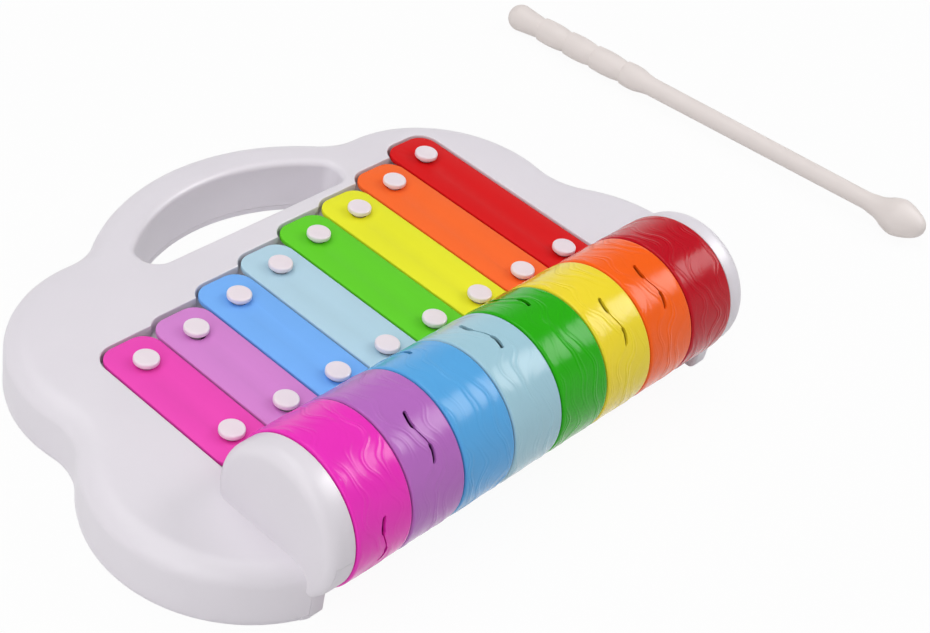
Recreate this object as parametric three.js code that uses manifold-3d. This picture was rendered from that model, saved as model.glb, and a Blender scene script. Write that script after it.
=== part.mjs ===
// Toy xylophone: a cloud-shaped plastic body with eight metal bars on pegs, a hand hole behind
// them, and a drum of eight separately turning rings in front of them. A mallet lies beside it.
// Millimetres, +Z up. The origin is on the flat underside, below the middle of the body.
// +X runs along the drum to the player's right, +Y from the drum to the handle.

import * as THREE from 'three';
import { mergeVertices } from 'three/addons/utils/BufferGeometryUtils.js';
import Module from 'manifold-3d';

const wasm = await Module();
wasm.setup();

// General clearances and walls
const touchGap = 0.3;
const cutOverrun = 4;
const wall = 2.4;
const weldDepth = 0.6;

// Bars: one row, equal width, lengths that grow from left to right
const barNames = ['magenta', 'lavender', 'sky_blue', 'light_blue', 'green', 'yellow', 'orange', 'red'];
const barCount = barNames.length;
const barPitch = 25;
const barGap = 1;
const barThickness = 2;
const barCorner = 7.5;
const barSetback = 0.4;
const barFrontOverhang = 12.8;
const barRearOverhang = 13.4;
const barHoleRadius = 3.2;
const barSlack = 0.8;
const barSlideShares = [0, 1, 0, 0.2, 0, 0.3, 0.2, 0];

// Pegs: a straight front line, and a rear line that follows the bars' lengths
const frontPegY = -32;
const pegSpacingShort = 44.6;
const pegSpacingLong = 76.4;
const pegSpacingShares = [0, 0.08, 0.24, 0.39, 0.56, 0.65, 0.81, 1];
const pegHeadRadius = 4.45;
const pegHeadThickness = 1.9;
const pegHeadCrown = 0.7;
const pegHeadLift = 1.3;
const pegCollarRadius = 3.7;
const pegShankRadius = 2;
const pegTipClearance = 1;

// Body
const slabHeight = 23.7;
const coverThickness = 2;
const edgeInset = 9;
const edgeDrop = 7;
const coverEdgeRound = 1.1;
const coverShy = 0.3;

// Recess for the bars
const slotGap = 1.1;
const recessDepth = 6;
const recessFloor = 2.4;
const frontWall = 1.5;
const damperWidth = 9;
const damperEndInset = 1.5;
const bossRadius = 4.6;
const bossBottom = 8;

// Cloud outline: circles for the lobes, joined by hollow fillets
const frontLobeRadius = 56.3;
const frontLobeBesideCheek = 21.2;
const frontLobeBehindAxis = 34;
const rearLobeRadius = 53.1;
const rearLobeInsideRecess = 25.7;
const rearLobeBehindSlot = 37.3;
const handleCentreY = 5.4;
const valleyRadius = 24.4;

// Hand hole
const holeStrip = 3.6;
const fingerGap = 31.4;
const handleWidth = 16.9;
const holeHalfWidth = 50.5;
const holeNearCorner = 7;
const holeFarCorner = 6;
const holeEdgeInset = 3.2;
const holeEdgeDrop = 2.6;

// Drum
const ringRadius = 28.6;
const ringWall = 2.2;
const ringEdge = 1;
const ringGap = 0.6;
const ringSide = 1.8;
const hubRadius = 6.5;
const hubEndGap = 0.3;
const axleRadius = 4;
const axleSeatDepth = 6;
const drumFloorGap = 1.6;
const drumClearance = 0.8;
const ballRadius = 4.5;
const slitSpan = THREE.MathUtils.degToRad(41);
const slitWidth = 1.7;
const slitNeckShare = 0.3;
const slitNeckReachShare = 0.35;
const slitSway = 1.2;
const slitDegrees = [177.7, 123.9, 41, 80.2, 60.9, 124.7, 116.2, 292];

// Cheeks and feet
const cheekThickness = 9.8;
const cheekShy = 1.4;
const cheekEdge = 3.5;
const cheekSkin = 2.2;
const cheekSplitBehindAxis = 16;
const footReach = 19.4;
const footDraft = 1.2;
const footRound = 1.2;

// Screws that hold the cover to the shell
const screwShankRadius = 1.4;
const screwHeadRadius = 3.2;
const screwHeadThickness = 1.9;
const screwLength = 13;
const screwRecess = 0.4;
const screwBossRadius = 4.5;
const screwPadHeight = 3;
const screwPadRadius = 5.6;
const screwInset = 12;
const handleScrewInset = 10;
const frontScrewTurn = THREE.MathUtils.degToRad(-7);
const handleScrewTurn = THREE.MathUtils.degToRad(45);

// Mallet
const malletLength = 230.5;
const malletGripX = 233.5;
const malletGripY = 122.8;
const malletTurn = THREE.MathUtils.degToRad(4.9);
const malletLift = 0.02;
const gripLength = 80.6;
const gripEndRadius = 6.5;
const gripCrestRadius = 6.1;
const gripWaistRadius = 5.3;
const gripStepShares = [0.245, 0.44, 0.635, 0.85];
const gripCrestShare = 0.4;
const gripStep = 0.4;
const stickRadiusAtGrip = 4.5;
const stickRadiusAtHead = 4.1;
const collarRadius = 4.6;
const collarLength = 4;
const headLength = 26;
const headRadius = 8.6;
const headShares = [
  [0.1, 0.58], [0.2, 0.7], [0.3, 0.86], [0.4, 0.96], [0.49, 1],
  [0.6, 0.94], [0.7, 0.85], [0.8, 0.72], [0.9, 0.54], [0.97, 0.32],
];

// Facet counts
const lobeSteps = 10;
const handleSteps = 14;
const valleySteps = 4;
const edgeSteps = 4;
const cornerSteps = 3;
const holeArcSteps = 10;
const ringFacets = 22;
const lidFacets = 14;
const cheekFacets = 28;
const cheekEdgeSteps = 3;
const pegFacets = 8;
const boreFacets = 8;
const damperHoleFacets = 6;
const axleFacets = 12;
const malletFacets = 12;
const slitSteps = 6;
const ballDetail = 1;

// Places that follow from the sizes above
const barWidth = barPitch - barGap;
const barX = barNames.map((name, i) => (i - (barCount - 1) / 2) * barPitch);
const barTop = slabHeight - barSetback;
const barBottom = barTop - barThickness;
const recessBottom = slabHeight - recessDepth;
const rearPegY = pegSpacingShares.map(
  (share) => frontPegY + pegSpacingShort + share * (pegSpacingLong - pegSpacingShort),
);
const slotFrontY = frontPegY - barFrontOverhang - slotGap;
const slotEndY = rearPegY.map((y) => y + barRearOverhang + slotGap);
const slotHalfWidth = barWidth / 2 + slotGap;
const recessHalfWidth = barX[barCount - 1] + slotHalfWidth;
const slabFrontY = slotFrontY - frontWall;

const ringPitch = barPitch;
const ringWidth = ringPitch - ringGap;
const axisZ = drumFloorGap + ringRadius;
const axisY = slabFrontY - drumClearance - Math.sqrt(ringRadius ** 2 - (axisZ - slabHeight) ** 2);
const bayHalfWidth = ((barCount - 1) * ringPitch + ringWidth) / 2 + ringGap;
const boreRadius = axleRadius + touchGap;

const cheekRadius = ringRadius - cheekShy;
const cheekOuterX = bayHalfWidth + cheekThickness;
const insertOuterX = cheekOuterX - cheekSkin - touchGap;
const cheekSplitY = axisY + cheekSplitBehindAxis;

const shellBottom = coverThickness + touchGap;
const footFrontY = axisY - footReach;
const frontLobe = new THREE.Vector2(cheekOuterX - frontLobeBesideCheek, axisY + frontLobeBehindAxis);
const rearLobe = new THREE.Vector2(
  recessHalfWidth - rearLobeInsideRecess,
  slotEndY[barCount - 1] - rearLobeBehindSlot,
);
const handleCentre = new THREE.Vector2(0, handleCentreY);
const holeNearY = Math.max(
  ...slotEndY.filter((y, i) => Math.abs(barX[i]) - barPitch / 2 < holeHalfWidth - holeNearCorner),
) + holeStrip;
const holeFarRadius = holeNearY + fingerGap - handleCentreY;
const handleRadius = holeFarRadius + handleWidth;

// Solids

function toSolid(geometry) {
  const bare = geometry.clone();
  bare.deleteAttribute('normal');
  bare.deleteAttribute('uv');
  const merged = mergeVertices(bare, 1e-4);
  return new wasm.Manifold(new wasm.Mesh({
    numProp: 3,
    vertProperties: new Float32Array(merged.attributes.position.array),
    triVerts: new Uint32Array(merged.index.array),
  }));
}

function toGeometry(solid) {
  const mesh = solid.getMesh();
  const geometry = new THREE.BufferGeometry();
  geometry.setAttribute('position', new THREE.BufferAttribute(mesh.vertProperties, 3));
  geometry.setIndex(new THREE.BufferAttribute(mesh.triVerts, 1));
  const facets = geometry.toNonIndexed();
  facets.computeVertexNormals();
  return facets;
}

function addAll(first, others) {
  return others.reduce((sum, solid) => sum.add(solid), first);
}

function cutAll(first, tools) {
  return tools.reduce((rest, tool) => rest.subtract(tool), first);
}

function block(x0, x1, y0, y1, z0, z1) {
  const geometry = new THREE.BoxGeometry(x1 - x0, y1 - y0, z1 - z0);
  geometry.translate((x0 + x1) / 2, (y0 + y1) / 2, (z0 + z1) / 2);
  return toSolid(geometry);
}

function post(x, y, radius, z0, z1, facets) {
  const geometry = new THREE.CylinderGeometry(radius, radius, z1 - z0, facets);
  geometry.rotateX(Math.PI / 2);
  geometry.translate(x, y, (z0 + z1) / 2);
  return toSolid(geometry);
}

// An upright prism from a closed outline, with round or cut holes if it has any
function prism(outline, z0, z1, holes = []) {
  const shape = new THREE.Shape(outline);
  shape.holes = holes.map((points) => new THREE.Path(points));
  const geometry = new THREE.ExtrudeGeometry(shape, { depth: z1 - z0, bevelEnabled: false });
  geometry.translate(0, 0, z0);
  return geometry;
}

// A solid through sections of one point count, each counterclockwise seen from the last one's side
function loft(sections) {
  const count = sections[0].length;
  const index = [];
  for (let level = 0; level + 1 < sections.length; level += 1) {
    for (let i = 0; i < count; i += 1) {
      const a = level * count + i;
      const b = level * count + ((i + 1) % count);
      index.push(a, b, b + count, a, b + count, a + count);
    }
  }
  const flat = (section) => section.map((p) => new THREE.Vector2(p.u, p.v));
  const last = (sections.length - 1) * count;
  for (const [a, b, c] of THREE.ShapeUtils.triangulateShape(flat(sections[0]), [])) {
    index.push(a, c, b);
  }
  for (const [a, b, c] of THREE.ShapeUtils.triangulateShape(flat(sections[sections.length - 1]), [])) {
    index.push(last + a, last + b, last + c);
  }
  const geometry = new THREE.BufferGeometry();
  const positions = sections.flat().flatMap((p) => p.at.toArray());
  geometry.setAttribute('position', new THREE.Float32BufferAttribute(positions, 3));
  geometry.setIndex(index);
  return toSolid(geometry);
}

// A solid whose level sections are outlines, from the lowest to the highest
function stack(levels) {
  return loft(levels.map(({ outline, z }) => outline.map(
    (p) => ({ u: p.x, v: p.y, at: new THREE.Vector3(p.x, p.y, z) }),
  )));
}

// A turned solid: the profile holds [radius, distance along the axis] and runs with the axis
function turned(profile, facets, startAngle = 0) {
  const points = profile.map(([radius, along]) => new THREE.Vector2(radius, along));
  return new THREE.LatheGeometry(points, facets, startAngle);
}

// Outlines

function arc(centre, radius, from, to, steps) {
  const points = [];
  for (let i = 0; i <= steps; i += 1) {
    const angle = from + ((to - from) * i) / steps;
    points.push(new THREE.Vector2(centre.x + radius * Math.cos(angle), centre.y + radius * Math.sin(angle)));
  }
  return points;
}

// The right half's points, from front to rear, and their mirror image back to the front
function mirrored(half, between = []) {
  const left = half.map((p) => new THREE.Vector2(-p.x, p.y)).reverse();
  return [...half, ...between, ...left];
}

function angleTo(from, to) {
  return Math.atan2(to.y - from.y, to.x - from.x);
}

// The same bearing, counted from nothing to a full turn
function turnTo(from, to) {
  const angle = angleTo(from, to);
  return angle < 0 ? angle + 2 * Math.PI : angle;
}

// Centre of the circle that touches two lobes from outside, on the side away from the body
function valleyCentre(a, radiusA, b, radiusB) {
  const reachA = radiusA + valleyRadius;
  const reachB = radiusB + valleyRadius;
  const apart = a.distanceTo(b);
  const along = (reachA ** 2 - reachB ** 2 + apart ** 2) / (2 * apart);
  const aside = Math.sqrt(reachA ** 2 - along ** 2);
  const direction = b.clone().sub(a).divideScalar(apart);
  const outward = new THREE.Vector2(direction.y, -direction.x);
  return a.clone().addScaledVector(direction, along).addScaledVector(outward, aside);
}

// The cloud seen from above, drawn in by an inset: lobes shrink and valleys widen alike
function cloudOutline(inset) {
  const sideValley = valleyCentre(frontLobe, frontLobeRadius, rearLobe, rearLobeRadius);
  const rearValley = valleyCentre(rearLobe, rearLobeRadius, handleCentre, handleRadius);
  const valley = valleyRadius + inset;
  const half = [
    ...arc(frontLobe, frontLobeRadius - inset, -Math.PI / 2, angleTo(frontLobe, sideValley), lobeSteps),
    ...arc(
      sideValley, valley, turnTo(sideValley, frontLobe), turnTo(sideValley, rearLobe), valleySteps,
    ).slice(1, -1),
    ...arc(
      rearLobe, rearLobeRadius - inset,
      angleTo(rearLobe, sideValley), angleTo(rearLobe, rearValley), lobeSteps,
    ),
    ...arc(
      rearValley, valley, turnTo(rearValley, rearLobe), turnTo(rearValley, handleCentre), valleySteps,
    ).slice(1, -1),
    ...arc(
      handleCentre, handleRadius - inset,
      angleTo(handleCentre, rearValley), Math.PI / 2, handleSteps / 2,
    ).slice(0, -1),
  ];
  return mirrored(half, [new THREE.Vector2(handleCentre.x, handleCentre.y + handleRadius - inset)]);
}

// The hand hole, widened by grow
function holeOutline(grow) {
  const nearCorner = new THREE.Vector2(holeHalfWidth - holeNearCorner, holeNearY + holeNearCorner);
  const farCornerX = holeHalfWidth - holeFarCorner;
  const farCornerUp = Math.sqrt((holeFarRadius - holeFarCorner) ** 2 - farCornerX ** 2);
  const farCorner = new THREE.Vector2(farCornerX, handleCentre.y + farCornerUp);
  const turn = Math.atan2(farCornerUp, farCornerX);
  const half = [
    ...arc(nearCorner, holeNearCorner + grow, -Math.PI / 2, 0, cornerSteps),
    ...arc(farCorner, holeFarCorner + grow, 0, turn, cornerSteps),
    ...arc(handleCentre, holeFarRadius + grow, turn, Math.PI / 2, holeArcSteps / 2).slice(1, -1),
  ];
  return mirrored(half, [new THREE.Vector2(handleCentre.x, handleCentre.y + holeFarRadius + grow)]);
}

// A rectangle with its own radius at each corner, from the front left one round to the rear left one
function roundedBox(x0, x1, y0, y1, radii) {
  const corners = [
    [x0, 1, y0, 1], [x1, -1, y0, 1], [x1, -1, y1, -1], [x0, 1, y1, -1],
  ];
  return corners.flatMap(([x, inX, y, inY], i) => {
    if (radii[i] === 0) {
      return [new THREE.Vector2(x, y)];
    }
    const centre = new THREE.Vector2(x + inX * radii[i], y + inY * radii[i]);
    const from = Math.PI + (i * Math.PI) / 2;
    return arc(centre, radii[i], from, from + Math.PI / 2, cornerSteps);
  });
}

function circle(x, y, radius, facets) {
  return arc(new THREE.Vector2(x, y), radius, 0, 2 * Math.PI, facets).slice(0, -1);
}

// Levels of a soft edge: a quarter ellipse from the upright wall to the flat top
function softEdge(outlineAt, top, inset, drop, direction) {
  const levels = [];
  for (let i = 0; i <= edgeSteps; i += 1) {
    const angle = (Math.PI / 2) * (i / edgeSteps);
    levels.push({
      outline: outlineAt(direction * inset * (1 - Math.cos(angle))),
      z: top - drop + drop * Math.sin(angle),
    });
  }
  return levels;
}

// Body

// One slot of the recess. Its rear line runs on into its longer neighbour; the last slot closes the row.
function slotSolid(i, grow, z0, z1) {
  const corner = barCorner + slotGap + grow;
  const isLast = i === barCount - 1;
  const outline = roundedBox(
    barX[i] - slotHalfWidth - grow,
    isLast ? barX[i] + slotHalfWidth + grow : barX[i] + barPitch,
    slotFrontY - grow,
    slotEndY[i] + grow,
    [0, 0, isLast ? corner : 0, corner],
  );
  return toSolid(prism(outline, z0, z1));
}

function slots(grow, z0, z1) {
  const each = barNames.map((name, i) => slotSolid(i, grow, z0, z1));
  return addAll(each[0], each.slice(1));
}

// The drum's bay between the cheeks, and the room that the cover's cheek inserts take beside it
function bays(grow, top) {
  const inner = bayHalfWidth + grow;
  const outer = insertOuterX + touchGap + grow;
  const front = footFrontY - cheekRadius;
  return [
    block(-inner, inner, front, slabFrontY + grow, -cutOverrun, slabHeight + cutOverrun),
    block(-outer, outer, front, cheekSplitY + touchGap + grow, -cutOverrun, top),
  ];
}

function cheekDisc(side) {
  const profile = [[0, 0], [cheekRadius, 0]];
  for (let i = 0; i <= cheekEdgeSteps; i += 1) {
    const angle = (Math.PI / 2) * (i / cheekEdgeSteps);
    profile.push([
      cheekRadius - cheekEdge + cheekEdge * Math.cos(angle),
      cheekThickness - cheekEdge + cheekEdge * Math.sin(angle),
    ]);
  }
  profile.push([0, cheekThickness]);
  const geometry = turned(profile, cheekFacets);
  geometry.rotateZ(-Math.PI / 2);
  if (side < 0) {
    geometry.rotateY(Math.PI);
  }
  geometry.translate(side * bayHalfWidth, axisY, axisZ);
  return toSolid(geometry);
}

function axleBore() {
  const reach = bayHalfWidth + axleSeatDepth + touchGap;
  const geometry = new THREE.CylinderGeometry(boreRadius, boreRadius, 2 * reach, axleFacets);
  geometry.rotateZ(Math.PI / 2);
  geometry.translate(0, axisY, axisZ);
  return toSolid(geometry);
}

function screwPlaces() {
  const handle = new THREE.Vector2(Math.cos(handleScrewTurn), Math.sin(handleScrewTurn))
    .multiplyScalar(handleRadius - handleScrewInset).add(handleCentre);
  const front = new THREE.Vector2(Math.cos(frontScrewTurn), Math.sin(frontScrewTurn))
    .multiplyScalar(frontLobeRadius - screwInset).add(frontLobe);
  const rear = new THREE.Vector2(rearLobe.x + rearLobeRadius - screwInset, rearLobe.y);
  return mirrored([front, rear, handle]);
}

function topShell() {
  const outer = stack([
    { outline: cloudOutline(0), z: shellBottom },
    ...softEdge(cloudOutline, slabHeight, edgeInset, edgeDrop, 1),
  ]);
  const cavityRoof = slabHeight - wall;
  const room = cutAll(
    stack([
      { outline: cloudOutline(wall), z: shellBottom - cutOverrun },
      { outline: cloudOutline(wall), z: cavityRoof - edgeDrop },
      { outline: cloudOutline(wall + edgeInset / 2), z: cavityRoof },
    ]),
    bays(wall, slabHeight + cutOverrun),
  );
  const bossTop = recessBottom - recessFloor + weldDepth;
  const pegBosses = barNames.flatMap((name, i) => [
    post(barX[i], frontPegY, bossRadius, bossBottom, bossTop, boreFacets),
    post(barX[i], rearPegY[i], bossRadius, bossBottom, bossTop, boreFacets),
  ]);
  const screwBosses = screwPlaces().map((p) => post(
    p.x, p.y, screwBossRadius,
    coverThickness + screwPadHeight + touchGap, cavityRoof + weldDepth, boreFacets,
  ));
  const body = addAll(outer.subtract(room), [
    slots(wall, recessBottom - recessFloor, cavityRoof + weldDepth),
    toSolid(prism(holeOutline(wall), shellBottom, cavityRoof + weldDepth)),
    ...pegBosses,
    ...screwBosses,
  ]);
  const hole = stack([
    { outline: holeOutline(0), z: shellBottom - cutOverrun },
    ...softEdge(holeOutline, slabHeight, holeEdgeInset, holeEdgeDrop, 1),
    { outline: holeOutline(holeEdgeInset), z: slabHeight + cutOverrun },
  ]);
  const pegBores = barNames.flatMap((name, i) => [
    post(barX[i], frontPegY, pegShankRadius + touchGap, bossBottom - cutOverrun, slabHeight, boreFacets),
    post(barX[i], rearPegY[i], pegShankRadius + touchGap, bossBottom - cutOverrun, slabHeight, boreFacets),
  ]);
  const screwBores = screwPlaces().map((p) => post(
    p.x, p.y, screwShankRadius + touchGap,
    coverThickness, coverThickness + screwLength + touchGap, boreFacets,
  ));
  const slab = cutAll(body, [
    slots(0, recessBottom, slabHeight + cutOverrun),
    hole,
    ...pegBores,
    ...screwBores,
    ...bays(0, slabHeight + cutOverrun),
  ]);
  const insertRoom = bays(0, axisZ + touchGap / 2)[1];
  const cheeks = [-1, 1].map((side) => cheekDisc(side).subtract(insertRoom));
  return addAll(slab, cheeks).subtract(axleBore());
}

// One foot with the lower half of its cheek: it carries the drum's axle from below
function cheekInsert(side) {
  const topZ = axisZ - touchGap / 2;
  const x0 = side > 0 ? bayHalfWidth : -insertOuterX;
  const x1 = side > 0 ? insertOuterX : -bayHalfWidth;
  const disc = cheekDisc(side).intersect(
    block(x0, x1, axisY - cheekRadius - cutOverrun, cheekSplitY, 0, topZ),
  );
  const below = axisZ - Math.sqrt(cheekRadius ** 2 - (footFrontY - axisY) ** 2);
  const profile = [
    new THREE.Vector2(cheekSplitY, 0),
    new THREE.Vector2(cheekSplitY, topZ),
    new THREE.Vector2(axisY, topZ),
    new THREE.Vector2(footFrontY, below + cheekEdge),
    new THREE.Vector2(footFrontY, below),
    ...arc(
      new THREE.Vector2(footFrontY + footDraft + footRound, footRound), footRound,
      Math.PI, 1.5 * Math.PI, cornerSteps,
    ),
  ];
  const geometry = new THREE.ExtrudeGeometry(
    new THREE.Shape(profile.reverse()), { depth: x1 - x0, bevelEnabled: false },
  );
  geometry.rotateX(Math.PI / 2);
  geometry.rotateZ(Math.PI / 2);
  geometry.translate(x0, 0, 0);
  return disc.add(toSolid(geometry));
}

function bottomCover() {
  const plate = stack([
    { outline: cloudOutline(coverShy + coverEdgeRound), z: 0 },
    { outline: cloudOutline(coverShy), z: coverEdgeRound },
    { outline: cloudOutline(coverShy), z: coverThickness },
  ]);
  const pads = screwPlaces().map((p) => post(
    p.x, p.y, screwPadRadius, 0, coverThickness + screwPadHeight, boreFacets,
  ));
  const inner = bayHalfWidth;
  const bay = block(
    -inner, inner, footFrontY - cheekRadius, slabFrontY, -cutOverrun, coverThickness + cutOverrun,
  );
  const headRoom = screwPlaces().map((p) => post(
    p.x, p.y, screwHeadRadius + touchGap, -cutOverrun,
    screwRecess + screwHeadThickness + touchGap, boreFacets,
  ));
  const shankRoom = screwPlaces().map((p) => post(
    p.x, p.y, screwShankRadius + touchGap, -cutOverrun, slabHeight, boreFacets,
  ));
  const hole = toSolid(prism(holeOutline(0), -cutOverrun, coverThickness + cutOverrun));
  const outer = insertOuterX + touchGap;
  const footSlice = block(
    -outer, outer, footFrontY - cheekRadius, footFrontY + footDraft + footRound + weldDepth,
    -cutOverrun, coverThickness + cutOverrun,
  );
  const flat = cutAll(addAll(plate, pads), [bay, footSlice, hole, ...headRoom, ...shankRoom]);
  return addAll(flat, [-1, 1].map(cheekInsert)).subtract(axleBore());
}

// Bars, pegs and dampers

function bar(i) {
  const holes = [frontPegY, rearPegY[i]].map((y) => circle(barX[i], y, barHoleRadius, boreFacets));
  const outline = roundedBox(
    barX[i] - barWidth / 2, barX[i] + barWidth / 2,
    frontPegY - barFrontOverhang, rearPegY[i] + barRearOverhang,
    [barCorner, barCorner, barCorner, barCorner],
  );
  const geometry = prism(outline, barBottom, barTop, holes);
  geometry.translate(0, -barSlideShares[i] * barSlack, 0);
  return geometry;
}

function peg() {
  const collarBottom = barTop + touchGap;
  const headBottom = barTop + pegHeadLift;
  const headTop = headBottom + pegHeadThickness;
  const tip = bossBottom + pegTipClearance;
  const profile = [
    [0, tip],
    [pegShankRadius, tip],
    [pegShankRadius, collarBottom],
    [pegCollarRadius, collarBottom],
    [pegCollarRadius, headBottom],
    [pegHeadRadius, headBottom],
    [pegHeadRadius, headTop - pegHeadCrown],
    [pegHeadRadius - pegHeadCrown, headTop],
    [0, headTop],
  ];
  const geometry = turned(profile, pegFacets);
  geometry.rotateX(Math.PI / 2);
  return geometry;
}

function damper(lineY) {
  const z0 = recessBottom + touchGap;
  const z1 = barBottom - touchGap;
  const endX = recessHalfWidth - damperEndInset;
  const half = damperWidth / 2;
  const rear = lineY.map((y, i) => new THREE.Vector2(barX[i], y + half));
  const front = lineY.map((y, i) => new THREE.Vector2(barX[i], y - half));
  const outline = [
    new THREE.Vector2(-endX, lineY[0] - half),
    ...front,
    new THREE.Vector2(endX, lineY[barCount - 1] - half),
    new THREE.Vector2(endX, lineY[barCount - 1] + half),
    ...rear.reverse(),
    new THREE.Vector2(-endX, lineY[0] + half),
  ];
  const holes = lineY.map((y, i) => circle(barX[i], y, pegShankRadius + touchGap, damperHoleFacets));
  return prism(outline, z0, z1, holes);
}

// Drum

// The wavy slit's cutter: two broad ends joined by a narrow neck, bent round the drum's axis
function slitCutter() {
  const near = ringRadius - ringWall - cutOverrun / 2;
  const far = ringRadius + cutOverrun / 2;
  const sections = [];
  for (let i = 0; i <= slitSteps; i += 1) {
    const t = (2 * i) / slitSteps - 1;
    const angle = (t * slitSpan) / 2;
    const broad = Math.min(1, Math.abs(t) / slitNeckReachShare);
    const half = (slitWidth / 2) * (slitNeckShare + (1 - slitNeckShare) * broad);
    const x = slitSway * Math.sin(Math.PI * t);
    const corners = [[x - half, near], [x + half, near], [x + half, far], [x - half, far]];
    sections.push(corners.map(([u, v]) => (
      { u, v, at: new THREE.Vector3(u, v * Math.cos(angle), v * Math.sin(angle)) }
    )));
  }
  return loft(sections);
}

function ring() {
  const side = ringWidth / 2;
  const hubEnd = ringPitch - hubEndGap - side;
  const inside = ringRadius - ringWall;
  const profile = [
    [boreRadius, -side],
    [ringRadius - ringEdge, -side],
    [ringRadius, -side + ringEdge],
    [ringRadius, side - ringEdge],
    [ringRadius - ringEdge, side],
    [inside, side],
    [inside, -side + ringSide],
    [hubRadius, -side + ringSide],
    [hubRadius, hubEnd],
    [boreRadius, hubEnd],
    [boreRadius, -side],
  ];
  const geometry = turned(profile, ringFacets);
  geometry.rotateZ(-Math.PI / 2);
  return toGeometry(toSolid(geometry).subtract(slitCutter()));
}

function ringLid() {
  const side = ringWidth / 2;
  const innerRadius = hubRadius + touchGap;
  const outerRadius = (ringRadius - ringWall) * Math.cos(Math.PI / ringFacets) - touchGap;
  const profile = [
    [innerRadius / Math.cos(Math.PI / lidFacets), side - ringSide],
    [outerRadius, side - ringSide],
    [outerRadius, side],
    [innerRadius / Math.cos(Math.PI / lidFacets), side],
    [innerRadius / Math.cos(Math.PI / lidFacets), side - ringSide],
  ];
  const geometry = turned(profile, lidFacets);
  geometry.rotateZ(-Math.PI / 2);
  return geometry;
}

function rattleBall() {
  const geometry = new THREE.IcosahedronGeometry(ballRadius, ballDetail);
  const reach = (ringRadius - ringWall) * Math.cos(Math.PI / ringFacets) - ballRadius - touchGap;
  geometry.translate(0, 0, -reach);
  return geometry;
}

function axle() {
  const length = 2 * (bayHalfWidth + axleSeatDepth);
  const geometry = new THREE.CylinderGeometry(axleRadius, axleRadius, length, axleFacets);
  geometry.rotateZ(Math.PI / 2);
  return geometry;
}

function coverScrew() {
  const headTop = screwRecess + screwHeadThickness;
  const profile = [
    [0, screwRecess],
    [screwHeadRadius, screwRecess],
    [screwHeadRadius, headTop],
    [screwShankRadius, headTop],
    [screwShankRadius, coverThickness + screwLength - screwShankRadius],
    [0, coverThickness + screwLength],
  ];
  const geometry = turned(profile, boreFacets);
  geometry.rotateX(Math.PI / 2);
  return geometry;
}

// Mallet: one turned moulding, from the grip's round end to the head's tip

function malletProfile() {
  const profile = [[0, 0]];
  for (const angle of [Math.PI / 6, Math.PI / 3, Math.PI / 2]) {
    profile.push([gripEndRadius * Math.sin(angle), gripEndRadius * (1 - Math.cos(angle))]);
  }
  const steps = gripStepShares.map((share) => share * gripLength);
  profile.push([gripWaistRadius, steps[0] - gripStep]);
  steps.forEach((start, i) => {
    const end = i + 1 < steps.length ? steps[i + 1] : gripLength;
    profile.push([gripCrestRadius - gripStep / 2, start]);
    profile.push([gripCrestRadius, start + gripCrestShare * (end - start)]);
    if (i + 1 < steps.length) {
      profile.push([gripWaistRadius, end - gripStep]);
    }
  });
  const headStart = malletLength - headLength;
  profile.push([stickRadiusAtGrip, gripLength]);
  profile.push([stickRadiusAtHead, headStart - collarLength]);
  profile.push([collarRadius, headStart]);
  for (const [along, share] of headShares) {
    profile.push([headRadius * share, headStart + headLength * along]);
  }
  profile.push([0, malletLength]);
  return profile;
}

function mallet() {
  return turned(malletProfile(), malletFacets);
}

// Assembly

const plastic = (color, roughness = 0.4) => new THREE.MeshStandardMaterial({ color, roughness, metalness: 0 });
const enamel = (color) => new THREE.MeshStandardMaterial({ color, roughness: 0.35, metalness: 0.15 });
const steel = new THREE.MeshStandardMaterial({ color: 0xb8bbc0, roughness: 0.35, metalness: 0.9 });
const white = plastic(0xe4dfe6);
const foam = plastic(0x50505a, 0.95);

const barColours = [0xf04bb9, 0xd787d2, 0x78b4fa, 0xb6d6e6, 0x64d228, 0xebeb2d, 0xff6c2d, 0xda0014];
const ringColours = [0xf032be, 0xb96ec3, 0x5aaae6, 0xa5cddc, 0x28af0a, 0xf5dc32, 0xff6414, 0xbe001e];

const xylophone = new THREE.Group();

function place(parent, name, geometry, material, x = 0, y = 0, z = 0) {
  const mesh = new THREE.Mesh(geometry, material);
  mesh.name = name;
  mesh.position.set(x, y, z);
  parent.add(mesh);
  return mesh;
}

const body = new THREE.Group();
xylophone.add(body);
place(body, 'top_shell', toGeometry(topShell()), white);
place(body, 'bottom_cover', toGeometry(bottomCover()), plastic(0xdcd8e0));
place(body, 'damper_front', damper(barX.map(() => frontPegY)), foam);
place(body, 'damper_rear', damper(rearPegY), foam);
barNames.forEach((name, i) => {
  place(body, `bar_${name}`, bar(i), enamel(barColours[i]));
  place(body, `peg_front_${name}`, peg(), white, barX[i], frontPegY);
  place(body, `peg_rear_${name}`, peg(), white, barX[i], rearPegY[i]);
});
screwPlaces().forEach((p, i) => {
  place(body, `cover_screw_${i + 1}`, coverScrew(), steel, p.x, p.y);
});

const drum = new THREE.Group();
drum.position.set(0, axisY, axisZ);
xylophone.add(drum);
place(drum, 'drum_axle', axle(), steel);
barNames.forEach((name, i) => {
  const x = (i - (barCount - 1) / 2) * ringPitch;
  const material = plastic(ringColours[i], 0.25);
  const ringMesh = place(drum, `ring_${name}`, ring(), material, x);
  ringMesh.rotation.x = THREE.MathUtils.degToRad(slitDegrees[i]);
  place(drum, `ring_lid_${name}`, ringLid(), material, x);
  place(drum, `rattle_ball_${name}`, rattleBall(), steel, x);
});

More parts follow.
